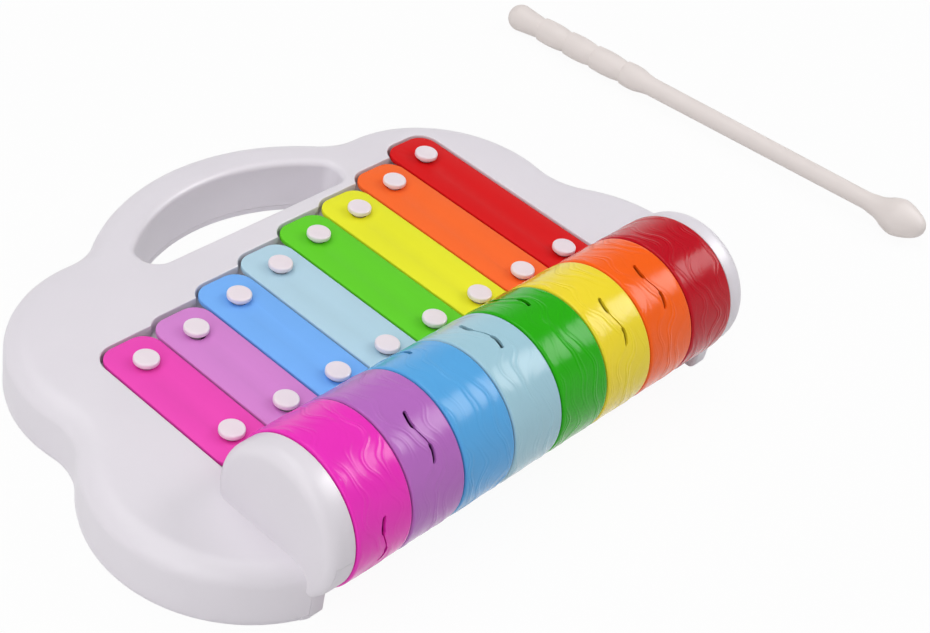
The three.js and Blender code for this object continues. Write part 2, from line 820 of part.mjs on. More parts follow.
const malletMesh = place(xylophone, 'mallet', mallet(), plastic(0xe0d6d4, 0.55));
const [widestShare] = headShares.reduce((widest, share) => (share[1] > widest[1] ? share : widest));
const restSpan = malletLength - headLength * (1 - widestShare) - gripEndRadius;
const tilt = Math.asin((headRadius - gripEndRadius) / restSpan);
malletMesh.rotation.order = 'ZXY';
malletMesh.rotation.set(tilt, 0, Math.PI + malletTurn);
malletMesh.position.set(malletGripX, malletGripY, gripEndRadius * (1 - Math.sin(tilt)) + malletLift);

export default xylophone;
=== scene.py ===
from math import asin, atan2, cos, exp, hypot, pi, radians, sin, sqrt

import bmesh
import bpy
from mathutils import Matrix, Vector


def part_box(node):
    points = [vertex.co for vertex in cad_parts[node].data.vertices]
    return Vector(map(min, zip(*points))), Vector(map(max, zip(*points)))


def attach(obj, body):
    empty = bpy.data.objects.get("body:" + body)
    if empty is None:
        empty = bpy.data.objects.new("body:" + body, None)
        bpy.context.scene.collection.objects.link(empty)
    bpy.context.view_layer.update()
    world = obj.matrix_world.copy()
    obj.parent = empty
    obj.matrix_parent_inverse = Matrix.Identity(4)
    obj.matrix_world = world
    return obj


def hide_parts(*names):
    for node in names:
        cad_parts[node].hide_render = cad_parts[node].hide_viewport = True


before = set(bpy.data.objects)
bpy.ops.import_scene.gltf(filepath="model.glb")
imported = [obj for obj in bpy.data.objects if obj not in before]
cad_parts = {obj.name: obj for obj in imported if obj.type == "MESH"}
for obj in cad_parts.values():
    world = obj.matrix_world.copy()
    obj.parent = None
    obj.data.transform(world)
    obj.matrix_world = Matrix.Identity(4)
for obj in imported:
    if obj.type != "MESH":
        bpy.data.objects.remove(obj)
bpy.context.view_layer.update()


# Camera. It looks down along the drum from its left end, through a long lens, at the angle that
# the photograph was taken from, and it leans a little to one side as the photograph does.
mm = 0.001
view_turn = radians(-54.658)
view_height = radians(38.428)
view_lean = radians(12.135)
camera_place = Vector((-429.375, -358.7, 465.2)) * mm

backward = Vector((
    sin(view_turn) * cos(view_height), -cos(view_turn) * cos(view_height), sin(view_height),
))
level = Vector((0, 0, 1)).cross(backward).normalized()
upward = backward.cross(level)
leaned_right = level * cos(view_lean) + upward * sin(view_lean)
leaned_up = upward * cos(view_lean) - level * sin(view_lean)
camera_data = bpy.data.cameras.new("studio_camera")
camera_data.sensor_width = 36
camera_data.lens = 73.54
camera = bpy.data.objects.new("studio_camera", camera_data)
bpy.context.scene.collection.objects.link(camera)
turned = Matrix((leaned_right, leaned_up, backward)).transposed().to_4x4()
camera.matrix_world = Matrix.Translation(camera_place) @ turned
bpy.context.scene.camera = camera


# Body casting. The real body is one moulding of pale lilac-white plastic: a cloud-shaped slab
# with a soft top edge, and a round cheek at each end of the drum that flows into the slab through
# a small fillet. It is drawn here as one solid, which the next sections cut into its two shells.
names = ("magenta", "lavender", "sky_blue", "light_blue", "green", "yellow", "orange", "red")


def middle(node):
    low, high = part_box(node)
    return (low + high) / 2


shell_low, shell_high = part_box("top_shell")
axle_middle = middle("drum_axle")
axis_y = axle_middle.y
axis_z = axle_middle.z
bar_setback = 0.4 * mm
deck_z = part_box("bar_red")[1].z + bar_setback
seam_z = shell_low.z
slot_gap = 1.1 * mm
peg_to_bar_end = 13.4 * mm
slot_half = (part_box("bar_red")[1].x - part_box("bar_red")[0].x) / 2 + slot_gap
slot_middle = [middle("peg_rear_" + name).x for name in names]
slot_end = [middle("peg_rear_" + name).y + peg_to_bar_end + slot_gap for name in names]
slot_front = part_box("bar_red")[0].y - slot_gap

front_lobe_radius = 56.3 * mm
front_lobe_behind_axle = 34 * mm
rear_lobe_radius = 53.1 * mm
rear_lobe_in_from_slot = 25.7 * mm
rear_lobe_before_slot_end = 37.3 * mm
handle_middle_y = 5.4 * mm
valley_radius = 24.4 * mm
front_lobe = Vector((shell_high.x - front_lobe_radius, axis_y + front_lobe_behind_axle))
rear_lobe = Vector((
    slot_middle[-1] + slot_half - rear_lobe_in_from_slot,
    slot_end[-1] - rear_lobe_before_slot_end,
))
handle = Vector((0, handle_middle_y))
handle_radius = shell_high.y - handle_middle_y
edge_inset = 9 * mm
edge_drop = 7 * mm
edge_steps = 12

cheek_rise = 0.4 * mm
cheek_radius = shell_high.z - axis_z + cheek_rise
cheek_edge = 4.6 * mm
cheek_outer = 110.1 * mm
cheek_inner = 100.3 * mm
cheek_overlap = 4 * mm
fillet = 2.6 * mm
split_behind_axle = 16 * mm
split_y = axis_y + split_behind_axle
foot_before_axle = 19.4 * mm
foot_front = axis_y - foot_before_axle
foot_round = 1.8 * mm
foot_corner = 2.4 * mm
foot_corner_top = 9 * mm
foot_fillet = 0.6 * mm
foot_fillet_reach = 2.5 * mm
toe_trim_top = 14 * mm
cover_round = 1.1 * mm
over = 4 * mm
away = 200 * mm
underneath = -20 * mm
hair = 0.01 * mm
dust = 0.001 * mm


def trace(bm, start, strokes):
    """Draws a line: a stroke is the next corner, or an arc as its centre, angle and steps."""
    point = bm.verts.new(start)
    height = point.co.z
    for stroke in strokes:
        if len(stroke) == 2:
            point = bmesh.ops.extrude_vert_indiv(bm, verts=[point])["verts"][0]
            point.co = (stroke[0], stroke[1], height)
        else:
            centre, angle, steps = stroke
            swung = bmesh.ops.spin(
                bm, geom=[point], cent=(centre[0], centre[1], height), axis=(0, 0, 1),
                dvec=(0, 0, 0), angle=angle, steps=steps, use_duplicate=False,
            )
            point = next(g for g in swung["geom_last"] if isinstance(g, bmesh.types.BMVert))


def fill(bm, height):
    """Closes the traced outline with a face and raises it into a solid of that height."""
    bmesh.ops.remove_doubles(bm, verts=bm.verts[:], dist=hair)
    bmesh.ops.edgeloop_fill(bm, edges=bm.edges[:])
    raised = bmesh.ops.extrude_face_region(bm, geom=bm.faces[:], use_keep_orig=True)
    moved = [g for g in raised["geom"] if isinstance(g, bmesh.types.BMVert)]
    bmesh.ops.translate(bm, verts=moved, vec=(0, 0, height))
    bmesh.ops.recalc_face_normals(bm, faces=bm.faces[:])


def made(bm, name):
    """Turns a bmesh into an object at the origin, with its faces pointing out."""
    bmesh.ops.recalc_face_normals(bm, faces=bm.faces[:])
    mesh = bpy.data.meshes.new(name)
    bm.to_mesh(mesh)
    bm.free()
    thing = bpy.data.objects.new(name, mesh)
    bpy.context.scene.collection.objects.link(thing)
    return thing


def combine(thing, tool, operation):
    """Joins, cuts or crops a thing with a tool, which is used up."""
    step = thing.modifiers.new("combine", "BOOLEAN")
    step.operation = operation
    step.solver = "EXACT"
    step.object = tool
    view = bpy.context.evaluated_depsgraph_get()
    mesh = bpy.data.meshes.new_from_object(thing.evaluated_get(view))
    thing.modifiers.clear()
    thing.data = mesh
    bpy.data.objects.remove(tool)
    return thing


def cut(thing, tool):
    return combine(thing, tool, "DIFFERENCE")


def soften(thing, chosen, offset, segments):
    """Rounds the edges that chosen(edge) picks, as a mould's radius does."""
    bm = bmesh.new()
    bm.from_mesh(thing.data)
    bmesh.ops.remove_doubles(bm, verts=bm.verts[:], dist=2 * dust)
    bm.normal_update()
    picked = [edge for edge in bm.edges if len(edge.link_faces) == 2 and chosen(edge)]
    bmesh.ops.bevel(
        bm, geom=picked, offset=offset, affect="EDGES", segments=segments, profile=0.5,
        material=-1, clamp_overlap=True,
    )
    bm.to_mesh(thing.data)
    bm.free()


def box(name, low, high):
    bm = bmesh.new()
    bmesh.ops.create_cube(bm, size=1)
    size = Vector(high) - Vector(low)
    bmesh.ops.scale(bm, vec=size, verts=bm.verts[:])
    bmesh.ops.translate(bm, vec=(Vector(low) + Vector(high)) / 2, verts=bm.verts[:])
    return made(bm, name)


def posts(name, places, radius, low, high, segments=32):
    """Upright round rods at several places, as one tool."""
    bm = bmesh.new()
    for x, y in places:
        bmesh.ops.create_cone(
            bm, cap_ends=True, segments=segments, radius1=radius, radius2=radius,
            depth=high - low, matrix=Matrix.Translation((x, y, (low + high) / 2)),
        )
    return made(bm, name)


def valley(a, radius_a, b, radius_b):
    """The centre of the hollow fillet that touches two lobes from outside."""
    reach_a = radius_a + valley_radius
    reach_b = radius_b + valley_radius
    apart = (b - a).length
    along = (reach_a ** 2 - reach_b ** 2 + apart ** 2) / (2 * apart)
    direction = (b - a) / apart
    outward = Vector((direction.y, -direction.x))
    return a + direction * along + outward * sqrt(reach_a ** 2 - along ** 2)


def bearing(a, b):
    return atan2(b.y - a.y, b.x - a.x)


def cloud(bm, inset, z):
    """The cloud's outline by compass: its right half from front to rear, then the mirror image."""
    old = set(bm.verts)
    side = valley(front_lobe, front_lobe_radius, rear_lobe, rear_lobe_radius)
    rear = valley(rear_lobe, rear_lobe_radius, handle, handle_radius)
    turn_side = bearing(front_lobe, side)
    turn_rear = bearing(rear_lobe, rear)
    turn_handle = bearing(handle, rear)
    trace(bm, (front_lobe.x, front_lobe.y - front_lobe_radius + inset, z), (
        (front_lobe, turn_side + pi / 2, 44),
        (side, bearing(rear_lobe, side) - turn_side, 20),
        (rear_lobe, turn_rear - bearing(rear_lobe, side), 40),
        (rear, turn_handle - turn_rear, 20),
        (handle, pi / 2 - turn_handle, 34),
    ))
    half = [v for v in bm.verts if v not in old]
    lines = [edge for edge in bm.edges if edge.verts[0] in half]
    bmesh.ops.mirror(
        bm, geom=half + lines, matrix=Matrix.Identity(4), merge_dist=hair, axis="X",
    )
    new = [v for v in bm.verts if v not in old]
    bm.edges.new([v for v in new if len(v.link_edges) == 1])
    return [edge for edge in bm.edges if edge.verts[0] in set(new)]


def stack(name, draw, levels):
    """A solid through outlines that draw(bm, inset, z) gives at each level, from the lowest up."""
    bm = bmesh.new()
    rings = [draw(bm, inset, z) for inset, z in levels]
    for lower, higher in zip(rings, rings[1:]):
        bmesh.ops.bridge_loops(bm, edges=lower + higher)
    for end in (rings[0], rings[-1]):
        bmesh.ops.edgeloop_fill(bm, edges=end)
    return made(bm, name)


def soft_levels(inset, drop, top, steps):
    """The levels of an edge that rounds over along a quarter ellipse up to a top face."""
    turns = [pi / 2 * i / steps for i in range(steps + 1)]
    return [(inset * (1 - cos(turn)), top - drop * (1 - sin(turn))) for turn in turns]


def cheek_disc(side):
    bm = bmesh.new()
    low = cheek_inner - cheek_overlap
    bmesh.ops.create_cone(
        bm, cap_ends=True, segments=128, radius1=cheek_radius, radius2=cheek_radius,
        depth=cheek_outer - low,
    )
    rim = [
        edge for edge in bm.edges
        if all(v.co.z > 0 for v in edge.verts) and any(len(f.verts) > 4 for f in edge.link_faces)
    ]
    bmesh.ops.bevel(
        bm, geom=rim, offset=cheek_edge, affect="EDGES", segments=8, profile=0.5, material=-1,
    )
    outward = Matrix.Rotation(side * pi / 2, 3, "Y")
    bmesh.ops.rotate(bm, verts=bm.verts[:], cent=(0, 0, 0), matrix=outward)
    centre = (side * (cheek_outer + low) / 2, axis_y, axis_z)
    bmesh.ops.translate(bm, verts=bm.verts[:], vec=centre)
    return made(bm, "cheek_disc")


def low_levels(inset):
    """The levels of the cover's rounded lower edge, from its underside up."""
    turns = [pi / 10 * i for i in range(6)]
    return [(inset + cover_round * (1 - sin(t)), cover_round * (1 - cos(t))) for t in turns]


def foot(side):
    """The foot's side view, raised into a slice as thick as its cheek and trimmed to the cloud."""
    bm = bmesh.new()
    front = foot_front + hair
    under = axis_z - sqrt(cheek_radius ** 2 - (front - axis_y) ** 2)
    flat_bottom = axis_z - cheek_radius + cheek_edge
    trace(bm, (split_y, 0, 0), (
        (split_y, flat_bottom),
        (axis_y, flat_bottom),
        (front, under),
        (front, foot_round),
        ((front + foot_round, foot_round), pi / 2, 8),
        (split_y, 0),
    ))
    fill(bm, cheek_outer - cheek_inner + cheek_overlap)
    stand = Matrix(((0, 0, 1), (1, 0, 0), (0, 1, 0)))
    bmesh.ops.transform(bm, matrix=stand.to_4x4(), verts=bm.verts[:])
    start = cheek_inner - cheek_overlap if side > 0 else -cheek_outer
    bmesh.ops.translate(bm, vec=(start, 0, 0), verts=bm.verts[:])
    trim = stack("trim", cloud, low_levels(0) + [(hair, axis_z + cheek_radius)])
    return combine(made(bm, "foot"), trim, "INTERSECT")


def foot_corner_tool(side):
    """What is missing from a square block at the foot's round corner beside the drum."""
    reach = foot_corner + cheek_overlap
    x = side * (cheek_inner + foot_corner)
    y = foot_front + foot_corner
    low_x, high_x = sorted((side * (cheek_inner - cheek_overlap), x))
    block = box("corner", (low_x, foot_front - reach, -hair), (high_x, y, foot_corner_top))
    return cut(block, posts("round", [(x, y)], foot_corner, -over, foot_corner_top + over, 64))


def is_fillet(edge):
    """True for the inward corner where a cheek meets the slab."""
    where = (edge.verts[0].co + edge.verts[1].co) / 2
    beside = abs(where.x) > cheek_inner - cheek_overlap
    return beside and edge.calc_face_angle_signed() < -radians(20)


def is_foot_corner(edge):
    """True for the inward corner between a foot's front and the underside of its cheek."""
    where = (edge.verts[0].co + edge.verts[1].co) / 2
    beside = abs(where.x) > cheek_inner and where.y < foot_front + foot_fillet_reach
    low_enough = seam_z < where.z < axis_z - 0.55 * cheek_radius
    return low_enough and beside and edge.calc_face_angle_signed() < -radians(15)


soft_edge = soft_levels(edge_inset, edge_drop, deck_z, edge_steps)
casting = stack("casting", cloud, [(0, seam_z)] + soft_edge)
cut(casting, box("toe_trim", (-cheek_outer, -away, -over), (cheek_outer, foot_front, toe_trim_top)))
for end in (-1, 1):
    combine(casting, cheek_disc(end), "UNION")
soften(casting, is_fillet, fillet, 6)
for end in (-1, 1):
    combine(casting, foot(end), "UNION")
soften(casting, is_foot_corner, foot_fillet, 4)
for end in (-1, 1):
    cut(casting, foot_corner_tool(end))


# Top shell. The real shell is the casting above, hollowed from below to an even wall, with a well
# for the bars, a hand hole, a bay for the drum and room for the cover's feet in its cheeks. Here
# the casting is cut with tools of those shapes, whose flared ends leave the moulded radii.
body = "xylophone_body"
wall = 2.4 * mm
slab_front = slot_front - 1.5 * mm
recess_bottom = deck_z - 6 * mm
slot_corner = 8.6 * mm
recess_rim = 0.5 * mm
hole_half = 50.5 * mm
hole_near = 52.2 * mm
hole_near_corner = 7 * mm
hole_far_corner = 6 * mm
hole_far_radius = 77.4 * mm
hole_rim_inset = 3.2 * mm
hole_rim_drop = 2.6 * mm
bay_rim = 0.5 * mm
bore = 4.3 * mm
bore_end = cheek_inner + 6.3 * mm
seam = 0.14 * mm
split_z = axis_z + seam / 2
insert_outer = 107.6 * mm
peg_boss = 4.6 * mm
peg_boss_bottom = 8 * mm
peg_bore = 2.3 * mm
peg_bore_bottom = 4 * mm
screw_boss = 4.5 * mm
screw_boss_bottom = 5.3 * mm
screw_bore = 1.7 * mm
screw_bore_bottom = 2 * mm
screw_bore_top = 15.3 * mm
front_pegs = [(middle("peg_front_" + name).x, middle("peg_front_" + name).y) for name in names]
rear_pegs = [(middle("peg_rear_" + name).x, middle("peg_rear_" + name).y) for name in names]
screw_places = [
    (middle("cover_screw_" + str(i)).x, middle("cover_screw_" + str(i)).y) for i in range(1, 7)
]


def recess(bm, inset, z):
    """The well's outline: a straight front, and a step with a round left corner for each bar."""
    old = set(bm.verts)
    radius = slot_corner - inset
    left = [x - slot_half + inset for x in slot_middle]
    right = slot_middle[-1] + slot_half - inset
    rear = [y - inset for y in slot_end]
    front = slot_front + inset
    strokes = [(left[0], rear[0] - radius)]
    turned_already = 0
    for i, x in enumerate(left):
        centre = (x + radius, rear[i] - radius)
        strokes.append((centre, -(pi / 2 - turned_already), 10))
        if i + 1 < len(left):
            climb = rear[i + 1] - rear[i]
            turned_already = asin((radius - climb) / radius)
            meeting = left[i + 1] + radius * (1 - cos(turned_already))
            strokes.append((meeting, rear[i]))
    strokes.append((right - radius, rear[-1]))
    strokes.append(((right - radius, rear[-1] - radius), -pi / 2, 10))
    strokes.append((right, front))
    strokes.append((left[0], front))
    trace(bm, (left[0], front, z), strokes)
    new = [v for v in bm.verts if v not in old]
    bmesh.ops.remove_doubles(bm, verts=new, dist=dust)
    new = {v for v in bm.verts if v not in old}
    return [edge for edge in bm.edges if edge.verts[0] in new]


def hand_hole(bm, inset, z):
    """The hole's outline: a straight near side, and a far side that follows the handle."""
    old = set(bm.verts)
    near = Vector((hole_half - hole_near_corner, hole_near + hole_near_corner - inset / 2))
    far_x = hole_half - hole_far_corner
    far = Vector((far_x, handle.y + sqrt((hole_far_radius - hole_far_corner) ** 2 - far_x ** 2)))
    turn = bearing(handle, far)
    trace(bm, (0, near.y - hole_near_corner + inset, z), (
        (near.x, near.y - hole_near_corner + inset),
        (near, pi / 2, 12),
        (far.x + hole_far_corner - inset, far.y),
        (far, turn, 8),
        (handle, pi / 2 - turn, 24),
    ))
    half = [v for v in bm.verts if v not in old]
    lines = [edge for edge in bm.edges if edge.verts[0] in half]
    bmesh.ops.mirror(
        bm, geom=half + lines, matrix=Matrix.Identity(4), merge_dist=hair, axis="X",
    )
    new = {v for v in bm.verts if v not in old}
    return [edge for edge in bm.edges if edge.verts[0] in new]


def bay(name, grow):
    """The drum's bay between the cheeks."""
    half = cheek_inner + grow
    top = axis_z + cheek_radius + over
    return box(name, (-half, -away, underneath), (half, slab_front + grow, top))


def insert_room(name, grow, top):
    """The room beside the bay that the cover's feet take in the lower half of the cheeks."""
    half = insert_outer + seam + grow
    return box(name, (-half, -away, underneath), (half, split_y + seam + grow, top))


def along_drum(name, radius, half, segments=48):
    """A rod along the drum's axis, as a tool."""
    bm = bmesh.new()
    turn = Matrix.Translation((0, axis_y, axis_z)) @ Matrix.Rotation(pi / 2, 4, "Y")
    bmesh.ops.create_cone(
        bm, cap_ends=True, segments=segments, radius1=radius, radius2=radius, depth=2 * half,
        matrix=turn,
    )
    return made(bm, name)


def is_rim(edge):
    """True for the sharp rims of the bay that a finger can feel."""
    if edge.calc_face_angle_signed() < radians(50):
        return False
    ends = [v.co for v in edge.verts]
    on_cheek = all(abs(abs(p.x) - cheek_inner) < hair and p.z > split_z + hair for p in ends)
    on_slab = all(abs(p.y - slab_front) < hair and abs(p.z - deck_z) < hair for p in ends)
    return on_cheek or on_slab


def smooth(thing, angle=30):
    """Shades a moulded piece smoothly up to its sharp edges."""
    thing.data.shade_smooth()
    thing.data.set_sharp_from_angle(angle=radians(angle))
    return thing


shell = casting.copy()
shell.data = casting.data.copy()
shell.name = "shell_top_moulding"
bpy.context.scene.collection.objects.link(shell)
roof = deck_z - wall
room = stack("room", cloud, [
    (wall, seam_z - over), (wall, roof - edge_drop), (wall + edge_inset / 2, roof),
])
cut(room, bay("bay_wall", wall))
cut(room, insert_room("insert_wall", wall, deck_z + over))
well = stack("well_wall", recess, [(-wall, recess_bottom - wall), (-wall, roof + over)])
cut(room, well)
cut(room, stack("hole_wall", hand_hole, [(-wall, 0), (-wall, roof + over)]))
cut(room, posts("peg_bosses", front_pegs + rear_pegs, peg_boss, peg_boss_bottom, deck_z))
cut(room, posts("screw_bosses", screw_places, screw_boss, screw_boss_bottom, deck_z))
cut(shell, room)
cut(shell, box("under_shell", (-away, -away, underneath), (away, away, seam_z)))
flare = soft_levels(-recess_rim, recess_rim, deck_z, 4)
cut(shell, stack("recess", recess, [(0, recess_bottom)] + flare + [(-recess_rim, deck_z + over)]))
flare = soft_levels(-hole_rim_inset, hole_rim_drop, deck_z, 8)
hole = stack("hole", hand_hole, [(0, seam_z - over)] + flare + [(-hole_rim_inset, deck_z + over)])
cut(shell, hole)
cut(shell, posts("peg_bores", front_pegs + rear_pegs, peg_bore, peg_bore_bottom, deck_z))
cut(shell, posts("screw_bores", screw_places, screw_bore, screw_bore_bottom, screw_bore_top))
cut(shell, bay("bay", 0))
cut(shell, insert_room("insert_room", 0, split_z))
cut(shell, along_drum("axle_bore", bore, bore_end))
soften(shell, is_rim, bay_rim, 3)
smooth(shell)


def surface(name, dark, light, patches, roughness, grain, relief, **sockets):
    """A material with slow colour patches, an uneven sheen and a fine grain in the surface."""
    made_of = bpy.data.materials.new(name)
    made_of.use_nodes = True
    nodes = made_of.node_tree.nodes
    links = made_of.node_tree.links
    shader = nodes["Principled BSDF"]
    place = nodes.new("ShaderNodeTexCoord").outputs["Object"]

    def noise(scale, detail):
        node = nodes.new("ShaderNodeTexNoise")
        node.inputs["Scale"].default_value = scale
        node.inputs["Detail"].default_value = detail
        links.new(place, node.inputs["Vector"])
        return node.outputs["Fac"]

    tone = nodes.new("ShaderNodeMix")
    tone.data_type = "RGBA"
    tone.inputs[6].default_value = (*dark, 1)
    tone.inputs[7].default_value = (*light, 1)
    links.new(noise(patches, 3), tone.inputs[0])
    links.new(tone.outputs[2], shader.inputs["Base Color"])
    sheen = nodes.new("ShaderNodeMapRange")
    sheen.inputs["From Min"].default_value = 0.3
    sheen.inputs["From Max"].default_value = 0.7
    sheen.inputs["To Min"].default_value = roughness[0]
    sheen.inputs["To Max"].default_value = roughness[1]
    links.new(noise(patches * 5, 4), sheen.inputs["Value"])
    links.new(sheen.outputs["Result"], shader.inputs["Roughness"])
    bump = nodes.new("ShaderNodeBump")
    bump.inputs["Strength"].default_value = 0.5
    bump.inputs["Distance"].default_value = relief
    links.new(noise(grain, 2), bump.inputs["Height"])
    links.new(bump.outputs["Normal"], shader.inputs["Normal"])
    for socket, value in sockets.items():
        shader.inputs[socket.replace("_", " ")].default_value = value
    return made_of


def dress(thing, made_of, rides, slot, *nodes):
    """Gives a finished piece its material and body, and hides the part's nodes it stands for; its
    slot is not used.
    """
    thing.data.materials.clear()
    thing.data.materials.append(made_of)
    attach(thing, rides)
    if nodes:
        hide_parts(*nodes)


lilac_white = surface(
    "lilac_white_satin", (0.745, 0.708, 0.762), (0.8, 0.764, 0.815), 22, (0.34, 0.46), 2600,
    0.03 * mm,
)
dress(shell, lilac_white, body, "shell_white", "top_shell")


# Bottom cover. The real cover is a flat plate of the same plastic with a small radius round its
# lower edge. It carries two feet, whose upper ends are the lower halves of the cheeks, so the
# drum's axle is dropped into the shell and caught from below when the six screws go in.
cover_top = seam_z - seam
cover_shy = 0.3 * mm
foot_back = foot_front + 3 * mm
toe_overlap = 0.5 * mm
screw_pad = 5.6 * mm
screw_pad_bottom = 0.5 * mm
screw_pad_top = 5 * mm
head_room = 3.5 * mm
head_room_top = 2.6 * mm
shank_room_top = 12 * mm


def cut_from_casting(low, high):
    """The part of the casting inside a block, as a piece of its own."""
    piece = casting.copy()
    piece.data = casting.data.copy()
    bpy.context.scene.collection.objects.link(piece)
    return combine(piece, box("block", low, high), "INTERSECT")


cover = stack("cover_plate_with_feet", cloud, low_levels(cover_shy) + [(cover_shy, cover_top)])
pads = posts("screw_pads", screw_places, screw_pad, screw_pad_bottom, screw_pad_top)
combine(cover, pads, "UNION")
cut(cover, bay("cover_bay", 0))
for end in (-1, 1):
    low_x, high_x = sorted((end * (cheek_inner - over), end * (insert_outer + seam)))
    foot_slice = box("foot_slice", (low_x, -away, -over), (high_x, foot_back, cover_top + over))
    cut(cover, foot_slice)
cut(cover, stack("cover_hole", hand_hole, [(0, -over), (0, cover_top + over)]))
cut(cover, posts("head_rooms", screw_places, head_room, -over, head_room_top))
cut(cover, posts("shank_rooms", screw_places, screw_bore, -over, shank_room_top))
for end in (-1, 1):
    low_x, high_x = sorted((end * cheek_inner, end * insert_outer))
    insert = cut_from_casting((low_x, -away, underneath), (high_x, split_y, axis_z - seam / 2))
    combine(cover, insert, "UNION")
    low_x, high_x = sorted((end * (insert_outer - toe_overlap), end * (cheek_outer + over)))
    toe = cut_from_casting((low_x, -away, underneath), (high_x, foot_back, cover_top))
    combine(cover, toe, "UNION")
cut(cover, along_drum("cover_bore", bore, bore_end))
bpy.data.objects.remove(casting)
smooth(cover)
cover_plastic = surface(
    "lilac_white_cover", (0.73, 0.695, 0.75), (0.785, 0.75, 0.8), 30, (0.4, 0.52), 2200, 0.04 * mm,
)
dress(cover, cover_plastic, body, "cover_white", "bottom_cover")


# Cover screws. The real ones are small zinc-plated pan-head screws with a cross recess. They run
# up from sunk rooms in the cover into hollow posts under the shell's deck.
def turned_piece(name, start, strokes, steps=48):
    """A turned piece: its profile is traced as radius and height, and swung round the Z axis."""
    bm = bmesh.new()
    trace(bm, (start[0], start[1], 0), strokes)
    bmesh.ops.spin(
        bm, geom=bm.verts[:] + bm.edges[:], cent=(0, 0, 0), axis=(0, 1, 0), dvec=(0, 0, 0),
        angle=2 * pi, steps=steps, use_merge=True, use_duplicate=False,
    )
    bmesh.ops.remove_doubles(bm, verts=bm.verts[:], dist=dust)
    bmesh.ops.rotate(bm, verts=bm.verts[:], cent=(0, 0, 0), matrix=Matrix.Rotation(pi / 2, 3, "X"))
    return bm


zinc = surface(
    "zinc_plate", (0.43, 0.445, 0.47), (0.53, 0.55, 0.58), 260, (0.28, 0.42), 5200, 0.008 * mm,
    Metallic=1,
)
screw_bottom = 0.4 * mm
screw_head = 3.2 * mm
screw_head_top = 2.3 * mm
screw_root = 1.05 * mm
screw_crest = 1.4 * mm
screw_tip = 15 * mm
thread_pitch = 1.2 * mm
thread_half = 0.3 * mm
cross_width = 0.22
for i, (x, y) in enumerate(screw_places):
    strokes = [
        (screw_head * 0.62, screw_bottom),
        (screw_head * 0.9, screw_bottom + 0.35 * mm),
        (screw_head, screw_bottom + 0.95 * mm),
        (screw_head, screw_head_top),
        (screw_root, screw_head_top),
    ]
    turn = screw_head_top + thread_pitch
    while turn < screw_tip - 3 * thread_pitch:
        strokes.append((screw_root, turn - thread_half))
        strokes.append((screw_crest, turn))
        strokes.append((screw_root, turn + thread_half))
        turn += thread_pitch
    strokes += [(screw_root, screw_tip - 2 * mm), (0, screw_tip)]
    bm = turned_piece("screw", (0, screw_bottom), strokes, 32)
    bmesh.ops.translate(bm, vec=(x, y, 0), verts=bm.verts[:])
    screw = made(bm, "cover_screw_with_cross_" + str(i + 1))
    for turn in (0, pi / 2):
        cross = bmesh.new()
        bmesh.ops.create_cone(
            cross, cap_ends=True, segments=4, radius1=2.2 * mm, radius2=1 * mm, depth=1.6 * mm,
            matrix=Matrix.Rotation(pi / 4, 4, "Z"),
        )
        bmesh.ops.scale(cross, vec=(1, cross_width, 1), verts=cross.verts[:])
        about = Matrix.Rotation(turn, 3, "Z")
        bmesh.ops.rotate(cross, verts=cross.verts[:], cent=(0, 0, 0), matrix=about)
        bmesh.ops.translate(cross, vec=(x, y, screw_bottom + 0.5 * mm), verts=cross.verts[:])
        cut(screw, made(cross, "cross"))
    smooth(screw, 35)
    dress(screw, zinc, body, "plain_steel", "cover_screw_" + str(i + 1))


# Dampers. The real ones are strips of dark foam laid in the well under both rows of pegs. They
# hold the bars clear of the shell so that they ring, and the pegs pass through them.
foam_half = 4.5 * mm
foam_round = 0.35 * mm


def is_sharp(edge):
    return edge.calc_face_angle_signed() > radians(60)


def foam_strip(name, line, node):
    low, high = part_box(node)
    first_y = line[0][1]
    last_y = line[-1][1]
    bm = bmesh.new()
    ahead = [(x, y - foam_half) for x, y in line]
    behind = [(x, y + foam_half) for x, y in reversed(line)]
    trace(bm, (low.x, first_y - foam_half, low.z), ahead + [
        (high.x, last_y - foam_half), (high.x, last_y + foam_half),
    ] + behind + [(low.x, first_y + foam_half), (low.x, first_y - foam_half)])
    fill(bm, high.z - low.z)
    strip = made(bm, name)
    cut(strip, posts("peg_holes", line, peg_bore, low.z - over, high.z + over))
    soften(strip, is_sharp, foam_round, 2)
    return smooth(strip, 40)


foam = surface(
    "dark_foam", (0.055, 0.055, 0.07), (0.11, 0.11, 0.135), 160, (0.85, 0.98), 1500, 0.35 * mm,
)
for row, line in (("front", front_pegs), ("rear", rear_pegs)):
    node = "damper_" + row
    damper = foam_strip("foam_under_" + row + "_pegs", line, node)
    dress(damper, foam, body, "damper_foam", node)


# Bars. The real bars are strips of steel plate with round corners, painted in satin enamel, one
# colour to each note. They lie loose on the foam, and each has slid a little on its two pegs.
bar_tones = (
    (0.871, 0.07, 0.485), (0.68, 0.242, 0.644), (0.188, 0.456, 0.956), (0.468, 0.672, 0.791),
    (0.127, 0.644, 0.021), (0.831, 0.831, 0.026), (1.0, 0.15, 0.026), (0.701, 0.005, 0.007),
)
bar_corner = 7.5 * mm
bar_round = 0.35 * mm
bar_hole = 3.2 * mm
front_hole_to_end = 12.8 * mm


def rounded_bar(name, low, high):
    bm = bmesh.new()
    r = bar_corner
    trace(bm, (low.x, low.y + r, low.z), (
        ((low.x + r, low.y + r), pi / 2, 12),
        (high.x - r, low.y),
        ((high.x - r, low.y + r), pi / 2, 12),
        (high.x, high.y - r),
        ((high.x - r, high.y - r), pi / 2, 12),
        (low.x + r, high.y),
        ((low.x + r, high.y - r), pi / 2, 12),
        (low.x, low.y + r),
    ))
    fill(bm, high.z - low.z)
    return made(bm, name)


def shades(colour, spread=0.04):
    """A darker and a lighter tone of one colour."""
    return [tuple(min(1, c * (1 + side * spread)) for c in colour) for side in (-1, 1)]


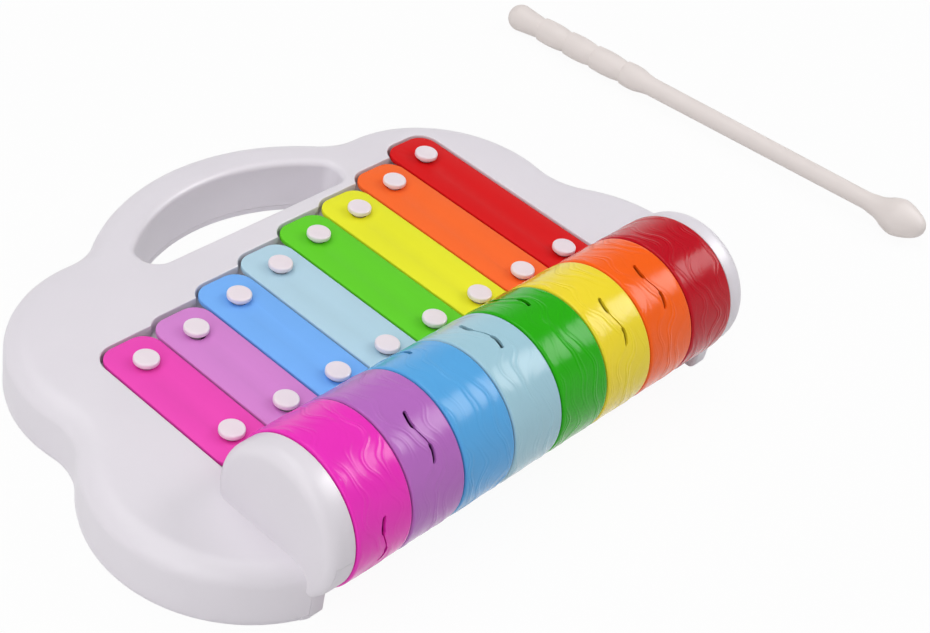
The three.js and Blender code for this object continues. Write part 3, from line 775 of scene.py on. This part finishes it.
for name, colour in zip(names, bar_tones):
    low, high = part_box("bar_" + name)
    strip = rounded_bar("painted_bar_" + name, low, high)
    x = (low.x + high.x) / 2
    holes = [(x, low.y + front_hole_to_end), (x, high.y - peg_to_bar_end)]
    cut(strip, posts("bar_holes", holes, bar_hole, low.z - over, high.z + over, 40))
    soften(strip, is_sharp, bar_round, 3)
    smooth(strip, 40)
    dark, light = shades(colour)
    enamel = surface(
        "enamel_" + name, dark, light, 35, (0.4, 0.5), 900, 0.012 * mm, Specular_IOR_Level=0.16,
    )
    dress(strip, enamel, body, "bar_" + name, "bar_" + name)


# Pegs. The real pegs are small white plastic mushrooms: a flat round head, a narrower collar that
# hides the bar's hole, and a shank pressed into a boss under the well.
peg_head = 4.7 * mm
peg_head_height = 1.9 * mm
peg_collar = 3.6 * mm
peg_shank = 2 * mm
peg_round = 0.7 * mm
peg_lip = 0.25 * mm
gap = 0.3 * mm
peg_low, peg_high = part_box("peg_front_red")
head_under = peg_high.z - peg_head_height
collar_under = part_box("bar_red")[1].z + gap
peg_white = surface(
    "peg_white", (0.83, 0.735, 0.79), (0.89, 0.8, 0.85), 120, (0.3, 0.42), 3200, 0.012 * mm,
)
for row in ("front", "rear"):
    for name in names:
        node = "peg_" + row + "_" + name
        place = middle(node)
        bm = turned_piece(node, (0, peg_low.z), (
            (peg_shank - 0.4 * mm, peg_low.z),
            (peg_shank, peg_low.z + 0.8 * mm),
            (peg_shank, collar_under),
            (peg_collar - 0.15 * mm, collar_under),
            (peg_collar, collar_under + 0.15 * mm),
            (peg_collar, head_under),
            (peg_head - peg_lip, head_under),
            ((peg_head - peg_lip, head_under + peg_lip), pi / 2, 4),
            (peg_head, peg_high.z - peg_round),
            ((peg_head - peg_round, peg_high.z - peg_round), pi / 2, 7),
            (peg_head * 0.55, peg_high.z - 0.02 * mm),
            (0, peg_high.z - 0.05 * mm),
        ), 56)
        bmesh.ops.translate(bm, vec=(place.x, place.y, 0), verts=bm.verts[:])
        peg = made(bm, "moulded_" + node)
        smooth(peg, 35)
        dress(peg, peg_white, body, "peg_white", node)


# Drum axle. The real axle is a plain steel rod with turned ends, seated in both cheeks.
axle_radius = 4 * mm
axle_chamfer = 0.7 * mm
axle_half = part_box("drum_axle")[1].x
bm = turned_piece("axle", (0, -axle_half), (
    (axle_radius - axle_chamfer, -axle_half),
    (axle_radius, -axle_half + axle_chamfer),
    (axle_radius, axle_half - axle_chamfer),
    (axle_radius - axle_chamfer, axle_half),
    (0, axle_half),
), 48)
bmesh.ops.rotate(bm, verts=bm.verts[:], cent=(0, 0, 0), matrix=Matrix.Rotation(pi / 2, 3, "Y"))
bmesh.ops.translate(bm, vec=(0, axis_y, axis_z), verts=bm.verts[:])
axle = made(bm, "turned_axle_rod")
smooth(axle, 35)
rod_steel = surface(
    "drawn_steel", (0.4, 0.415, 0.44), (0.5, 0.515, 0.54), 90, (0.22, 0.34), 3800, 0.01 * mm,
    Metallic=1,
)
dress(axle, rod_steel, body, "plain_steel", "drum_axle")


# Rings. Each real ring is a glossy plastic drum with raised lines in pairs that meander round it
# and one wavy slit with two drop-shaped ends, and a pressed lid shuts a loose ball inside. All
# eight come from one mould, so one ring is made here and turned to its place on the axle.
ring_tones = (
    (0.871, 0.032, 0.515), (0.485, 0.156, 0.546), (0.102, 0.402, 0.791), (0.376, 0.61, 0.716),
    (0.021, 0.429, 0.003), (0.913, 0.716, 0.032), (1.0, 0.127, 0.007), (0.515, 0.002, 0.013),
)
ring_turns = (177.7, 123.9, 41, 80.2, 60.9, 124.7, 116.2, 292)
ring_half = 12.2 * mm
ring_base = 28.37 * mm
ring_edge = 0.9 * mm
ring_inside = 27.2 * mm
ring_side = 1.8 * mm
hub_radius = 6.5 * mm
hub_end = 12.5 * mm
ring_steps = 432
across_steps = 84
line_height = 0.2 * mm
# The lines' pattern is worked out in millimetres. Each meander is its swing, its waves round
# the ring, its start and its lean across the ring.
line_pitch = 5.4
line_apart = 0.62
line_width = 0.36
line_fade = 0.6
line_mean = 0.6
least_slope = 0.35
meanders = ((2.7, 3, 0.6, 0), (2.3, 7, 2, 0.2), (0.7, 13, 0, -0.25))
parting = 0.9
parting_turn = 0.42
parting_across = 5
calm_turn = 0.48
slit_span = radians(41)
slit_half = 0.85 * mm
slit_neck = 0.28 * mm
slit_tip = 0.02 * mm
slit_sway = 1.2 * mm
slit_steps = 120
neck_share = 0.28
flare_share = 0.15
lid_inner = hub_radius + gap
lid_outer = ring_inside - 0.58 * mm
lid_round = 0.3 * mm
lid_back = ring_half - ring_side
ball_radius = 4.5 * mm


def sway(turn):
    return slit_sway / mm * sin(2 * pi * turn / slit_span)


def grain(u, turn):
    """A level that the raised lines follow, at u millimetres across and a turn from the slit."""
    along = u + sum(
        swing * sin(waves * turn + start + lean * u) for swing, waves, start, lean in meanders
    )
    offset = u - sway(turn)
    swell = 1 + parting * exp(-(turn / parting_turn) ** 2 - (offset / parting_across) ** 2)
    near = exp(-(turn / calm_turn) ** 2)
    return (1 - near) * along + near * offset / swell


def line_at(u, turn):
    """Height of the raised lines, as a share of their full height."""
    level = grain(u, turn)
    step = 0.05
    slope_across = (grain(u + step, turn) - level) / step
    slope_round = (grain(u, turn + step * mm / ring_base) - level) / step
    pair = round(level / line_pitch)
    slope = max(least_slope, hypot(slope_across, slope_round))
    aside = (abs(level - line_pitch * pair) - line_apart) / slope
    strength = line_mean + (1 - line_mean) * sin(2 * turn + 1.9 * pair)
    flat_half = (ring_half - ring_edge) / mm
    at_rim = min(1, max(0, flat_half - abs(u)) / line_fade)
    return strength * at_rim * exp(-(aside / line_width) ** 2)


def ring_moulding():
    bm = bmesh.new()
    rim = ring_base - ring_edge
    trace(bm, (bore, -ring_half, 0), [
        (rim, -ring_half),
        ((rim, -ring_half + ring_edge), pi / 2, 6),
    ] + [
        (ring_base, (-ring_half + ring_edge) * (1 - 2 * i / across_steps))
        for i in range(1, across_steps + 1)
    ] + [
        ((rim, ring_half - ring_edge), pi / 2, 6),
        (ring_inside, ring_half),
        (ring_inside, -ring_half + ring_side),
        (hub_radius, -ring_half + ring_side),
        (hub_radius, hub_end),
        (bore, hub_end),
        (bore, -ring_half),
    ])
    bmesh.ops.remove_doubles(bm, verts=bm.verts[:], dist=dust)
    bmesh.ops.spin(
        bm, geom=bm.verts[:] + bm.edges[:], cent=(0, 0, 0), axis=(0, 1, 0), dvec=(0, 0, 0),
        angle=2 * pi, steps=ring_steps, use_merge=True, use_duplicate=False,
    )
    bmesh.ops.recalc_face_normals(bm, faces=bm.faces[:])
    for v in bm.verts:
        radius = hypot(v.co.x, v.co.z)
        if radius > ring_base - hair:
            turn = atan2(v.co.z, v.co.x)
            raised = 1 + line_height * line_at(v.co.y / mm, turn) / radius
            v.co.x *= raised
            v.co.z *= raised
    bmesh.ops.rotate(bm, verts=bm.verts[:], cent=(0, 0, 0), matrix=Matrix.Rotation(-pi / 2, 3, "Z"))
    bmesh.ops.rotate(bm, verts=bm.verts[:], cent=(0, 0, 0), matrix=Matrix.Rotation(-pi / 2, 3, "X"))
    return made(bm, "ring_moulding")


def slit_half_at(share):
    """Half the slit's width at a share of the way from its middle to an end."""
    grown = min(1, max(0, (share - neck_share) / flare_share))
    half = slit_neck + (slit_half - slit_neck) * grown * grown * (3 - 2 * grown)
    tip = slit_half / (ring_base * slit_span / 2)
    past = max(0, (share - 1 + tip) / tip)
    return max(slit_tip, half * sqrt(max(0, 1 - past ** 2)))


def slit_tool():
    """A curved blade with drop-shaped ends, pushed along the slit from one end to the other."""
    bm = bmesh.new()
    near = ring_inside - 2 * mm
    far = ring_base + 2 * mm
    loop = None
    for i in range(slit_steps + 1):
        share = 2 * i / slit_steps - 1
        turn = share * slit_span / 2
        half = slit_half_at(abs(share))
        x = slit_sway * sin(pi * share)
        corners = [(x - half, near), (x + half, near), (x + half, far), (x - half, far)]
        places = [(u, r * cos(turn), r * sin(turn)) for u, r in corners]
        if loop is None:
            points = [bm.verts.new(p) for p in places]
            loop = [bm.edges.new((points[k], points[(k + 1) % 4])) for k in range(4)]
            bmesh.ops.edgeloop_fill(bm, edges=loop)
        else:
            grown = bmesh.ops.extrude_edge_only(bm, edges=loop)["geom"]
            new = [g for g in grown if isinstance(g, bmesh.types.BMVert)]
            lines = [g for g in grown if isinstance(g, bmesh.types.BMEdge)]
            loop = [line for line in lines if all(v in new for v in line.verts)]
            for v, was in [(v, v.co.copy()) for v in new]:
                v.co = places[min(range(4), key=lambda k: (Vector(before[k]) - was).length)]
        before = places
    bmesh.ops.edgeloop_fill(bm, edges=loop)
    return made(bm, "slit")


one_ring = cut(ring_moulding(), slit_tool())
for i, (name, colour) in enumerate(zip(names, ring_tones)):
    ring_x = slot_middle[i]
    drum_ring = one_ring.copy()
    drum_ring.data = one_ring.data.copy()
    drum_ring.name = "moulded_ring_" + name
    bpy.context.scene.collection.objects.link(drum_ring)
    on_axle = Matrix.Translation((ring_x, axis_y, axis_z))
    drum_ring.data.transform(on_axle @ Matrix.Rotation(radians(ring_turns[i]), 4, "X"))
    smooth(drum_ring, 40)
    dark, light = shades(colour)
    glossy = surface(
        "glossy_" + name, dark, light, 30, (0.12, 0.19), 1800, 0.006 * mm, Specular_IOR_Level=0.2,
    )
    dress(drum_ring, glossy, "drum_ring_" + name, "ring_" + name, "ring_" + name)
    bm = turned_piece("lid", (lid_inner, lid_back), (
        (lid_outer - lid_round, lid_back),
        (lid_outer, lid_back + lid_round),
        (lid_outer, ring_half - lid_round),
        (lid_outer - lid_round, ring_half),
        (lid_inner + lid_round, ring_half),
        (lid_inner, ring_half - lid_round),
        (lid_inner, lid_back),
    ), 96)
    bmesh.ops.rotate(bm, verts=bm.verts[:], cent=(0, 0, 0), matrix=Matrix.Rotation(pi / 2, 3, "Y"))
    bmesh.ops.translate(bm, vec=(ring_x, axis_y, axis_z), verts=bm.verts[:])
    lid = made(bm, "pressed_lid_" + name)
    smooth(lid, 35)
    dress(lid, glossy, "drum_ring_" + name, "ring_" + name, "ring_lid_" + name)
    ball_at = middle("rattle_ball_" + name)
    bm = turned_piece("ball", (0, -ball_radius), (((0, 0), pi, 24),), 48)
    bmesh.ops.translate(bm, vec=ball_at, verts=bm.verts[:])
    ball = made(bm, "steel_ball_" + name)
    smooth(ball, 60)
    dress(ball, rod_steel, "drum_ring_" + name, "plain_steel", "rattle_ball_" + name)
bpy.data.objects.remove(one_ring)


# Mallet. The real mallet is one moulding of off-white plastic with a matt skin: a round-ended
# grip of four long swellings, a tapered stick, and an acorn-shaped head on a small collar. It
# lies loose on the floor beside the body.
mallet_length = 230.4 * mm
mallet_place = Vector((233.5, 122.8)) * mm
mallet_turn = radians(4.9)
floor_gap = 0.1 * mm
grip_length = 80.6 * mm
grip_end = 6.4 * mm
grip_crest = 6 * mm
grip_waist = 4.95 * mm
grip_steps = [share * grip_length for share in (0.245, 0.44, 0.635, 0.85, 1)]
step_length = 0.5 * mm
crest_at = 0.4
step_fall = 0.25
grip_blend = 3 * mm
stick_start = 4.4 * mm
stick_end = 4 * mm
neck_length = 4 * mm
collar = 4.6 * mm
head_length = 26 * mm
head_radius = 8.5 * mm
head_start = mallet_length - head_length
head_widest = 0.49
head_shares = (
    (0.04, 0.56), (0.1, 0.585), (0.16, 0.645), (0.22, 0.73), (0.28, 0.825), (0.34, 0.9),
    (0.4, 0.957), (0.45, 0.99), (head_widest, 1), (0.54, 0.985), (0.6, 0.945), (0.66, 0.895),
    (0.72, 0.83), (0.78, 0.755), (0.84, 0.665), (0.9, 0.545), (0.94, 0.44), (0.97, 0.32),
    (0.99, 0.19),
)
end_in = 0.12 * mm
strokes = [((0, grip_end + end_in), pi / 2, 14), (grip_waist, grip_steps[0] - step_length)]
for start, end in zip(grip_steps, grip_steps[1:]):
    for i in range(11):
        share = i / 10
        if share > crest_at:
            fall = ((share - crest_at) / (1 - crest_at)) ** 2
        else:
            fall = step_fall * ((crest_at - share) / crest_at) ** 2
        at = start + share * (end - step_length - start)
        strokes.append((grip_crest - (grip_crest - grip_waist) * fall, at))
strokes.append((stick_start, grip_length + grip_blend))
strokes.append((stick_end, head_start - neck_length))
strokes.append((stick_end + 0.3 * (collar - stick_end), head_start - neck_length / 2))
strokes.append((collar, head_start))
strokes += [(head_radius * share, head_start + head_length * along) for along, share in head_shares]
strokes.append((0, mallet_length))
bm = turned_piece("mallet", (0, end_in), strokes, 72)
rest_span = mallet_length - head_length * (1 - head_widest) - grip_end
tilt = asin((head_radius - grip_end) / rest_span)
lay = (
    Matrix.Translation((mallet_place.x, mallet_place.y, grip_end * (1 - sin(tilt)) + floor_gap))
    @ Matrix.Rotation(pi + mallet_turn, 4, "Z") @ Matrix.Rotation(tilt, 4, "X")
    @ Matrix.Rotation(-pi / 2, 4, "X")
)
bmesh.ops.transform(bm, matrix=lay, verts=bm.verts[:])
beater = made(bm, "moulded_mallet")
smooth(beater, 50)
matt_white = surface(
    "matt_off_white", (0.76, 0.693, 0.668), (0.82, 0.748, 0.723), 60, (0.5, 0.62), 1400, 0.03 * mm,
)
dress(beater, matt_white, "loose_mallet", "mallet_plastic", "mallet")


# Studio. A white paper floor and white walls under a grey ceiling. A soft box stands to the right
# of the drum, with a bright card in the same place that is only mirrored and lights nothing. A
# wider box hangs to the left of the camera and one above.
paper_tone = 0.74
paper_seen_share = 0.95
floor_half = 6
room_light = 0.31
wall_top = 0.12
ceiling_from = 0.5
ceiling_tone = 0.3
bm = bmesh.new()
bmesh.ops.create_grid(bm, x_segments=2, y_segments=2, size=floor_half)
floor = made(bm, "studio_floor")
paper = bpy.data.materials.new("white_paper")
paper.use_nodes = True
paper_shader = paper.node_tree.nodes["Principled BSDF"]
paper_shader.inputs["Base Color"].default_value = (paper_tone, paper_tone, paper_tone, 1)
paper_shader.inputs["Roughness"].default_value = 0.9
paper_shader.inputs["Specular IOR Level"].default_value = 0.1


def seen_directly(tree):
    """1 for rays from the camera, a mirror or clear plastic, and 0 for the rays that light."""
    path = tree.nodes.new("ShaderNodeLightPath")
    total = path.outputs["Is Camera Ray"]
    for kind in ("Is Glossy Ray", "Is Transmission Ray"):
        both = tree.nodes.new("ShaderNodeMath")
        both.operation = "MAXIMUM"
        tree.links.new(total, both.inputs[0])
        tree.links.new(path.outputs[kind], both.inputs[1])
        total = both.outputs[0]
    return total


def as_share(tree, value, low, high):
    share = tree.nodes.new("ShaderNodeMapRange")
    share.inputs["To Min"].default_value = low
    share.inputs["To Max"].default_value = high
    tree.links.new(value, share.inputs["Value"])
    return share.outputs["Result"]


sheet = paper.node_tree
bright = sheet.nodes.new("ShaderNodeEmission")
bright.inputs["Strength"].default_value = 1
blend = sheet.nodes.new("ShaderNodeMixShader")
sheet.links.new(as_share(sheet, seen_directly(sheet), 0, paper_seen_share), blend.inputs[0])
sheet.links.new(paper_shader.outputs[0], blend.inputs[1])
sheet.links.new(bright.outputs[0], blend.inputs[2])
sheet.links.new(blend.outputs[0], sheet.nodes["Material Output"].inputs["Surface"])
floor.data.materials.append(paper)


def soft_box(name, direction, distance, width, height, power):
    lamp = bpy.data.lights.new(name, "AREA")
    lamp.shape = "RECTANGLE"
    lamp.size = width
    lamp.size_y = height
    lamp.energy = power
    aim = Vector((0, axis_y, axis_z))
    stand = bpy.data.objects.new(name, lamp)
    bpy.context.scene.collection.objects.link(stand)
    toward = Vector(direction).normalized()
    facing = toward.to_track_quat("Z", "Y").to_matrix().to_4x4()
    stand.matrix_world = Matrix.Translation(aim + toward * distance) @ facing
    return stand


key_direction = (0.66, -0.33, 0.67)
soft_box("key_box", key_direction, 1.35, 0.62, 0.56, 4.6)
gloss_card = soft_box("gloss_card", key_direction, 1.35, 0.62, 0.56, 12)
gloss_card.visible_diffuse = False
soft_box("left_box", (-0.83, -0.12, 0.6), 1.6, 1.2, 1.2, 10.8)
soft_box("top_box", (-0.12, 0.3, 1), 1.9, 1.5, 1.5, 13.5)

world = bpy.data.worlds.new("white_room")
bpy.context.scene.world = world
world.use_nodes = True
walls = world.node_tree
sky = walls.nodes["Background"]
sky.inputs["Color"].default_value = (1, 1, 1, 1)
heading = walls.nodes.new("ShaderNodeSeparateXYZ")
walls.links.new(walls.nodes.new("ShaderNodeTexCoord").outputs["Generated"], heading.inputs[0])
ceiling = as_share(walls, heading.outputs["Z"], 1, ceiling_tone)
ceiling.node.inputs["From Min"].default_value = wall_top
ceiling.node.inputs["From Max"].default_value = ceiling_from
room_level = as_share(walls, seen_directly(walls), room_light, 1)
walls.links.new(ceiling, room_level.node.inputs["To Max"])
walls.links.new(room_level, sky.inputs["Strength"])
bpy.context.scene.view_settings.view_transform = "Standard"
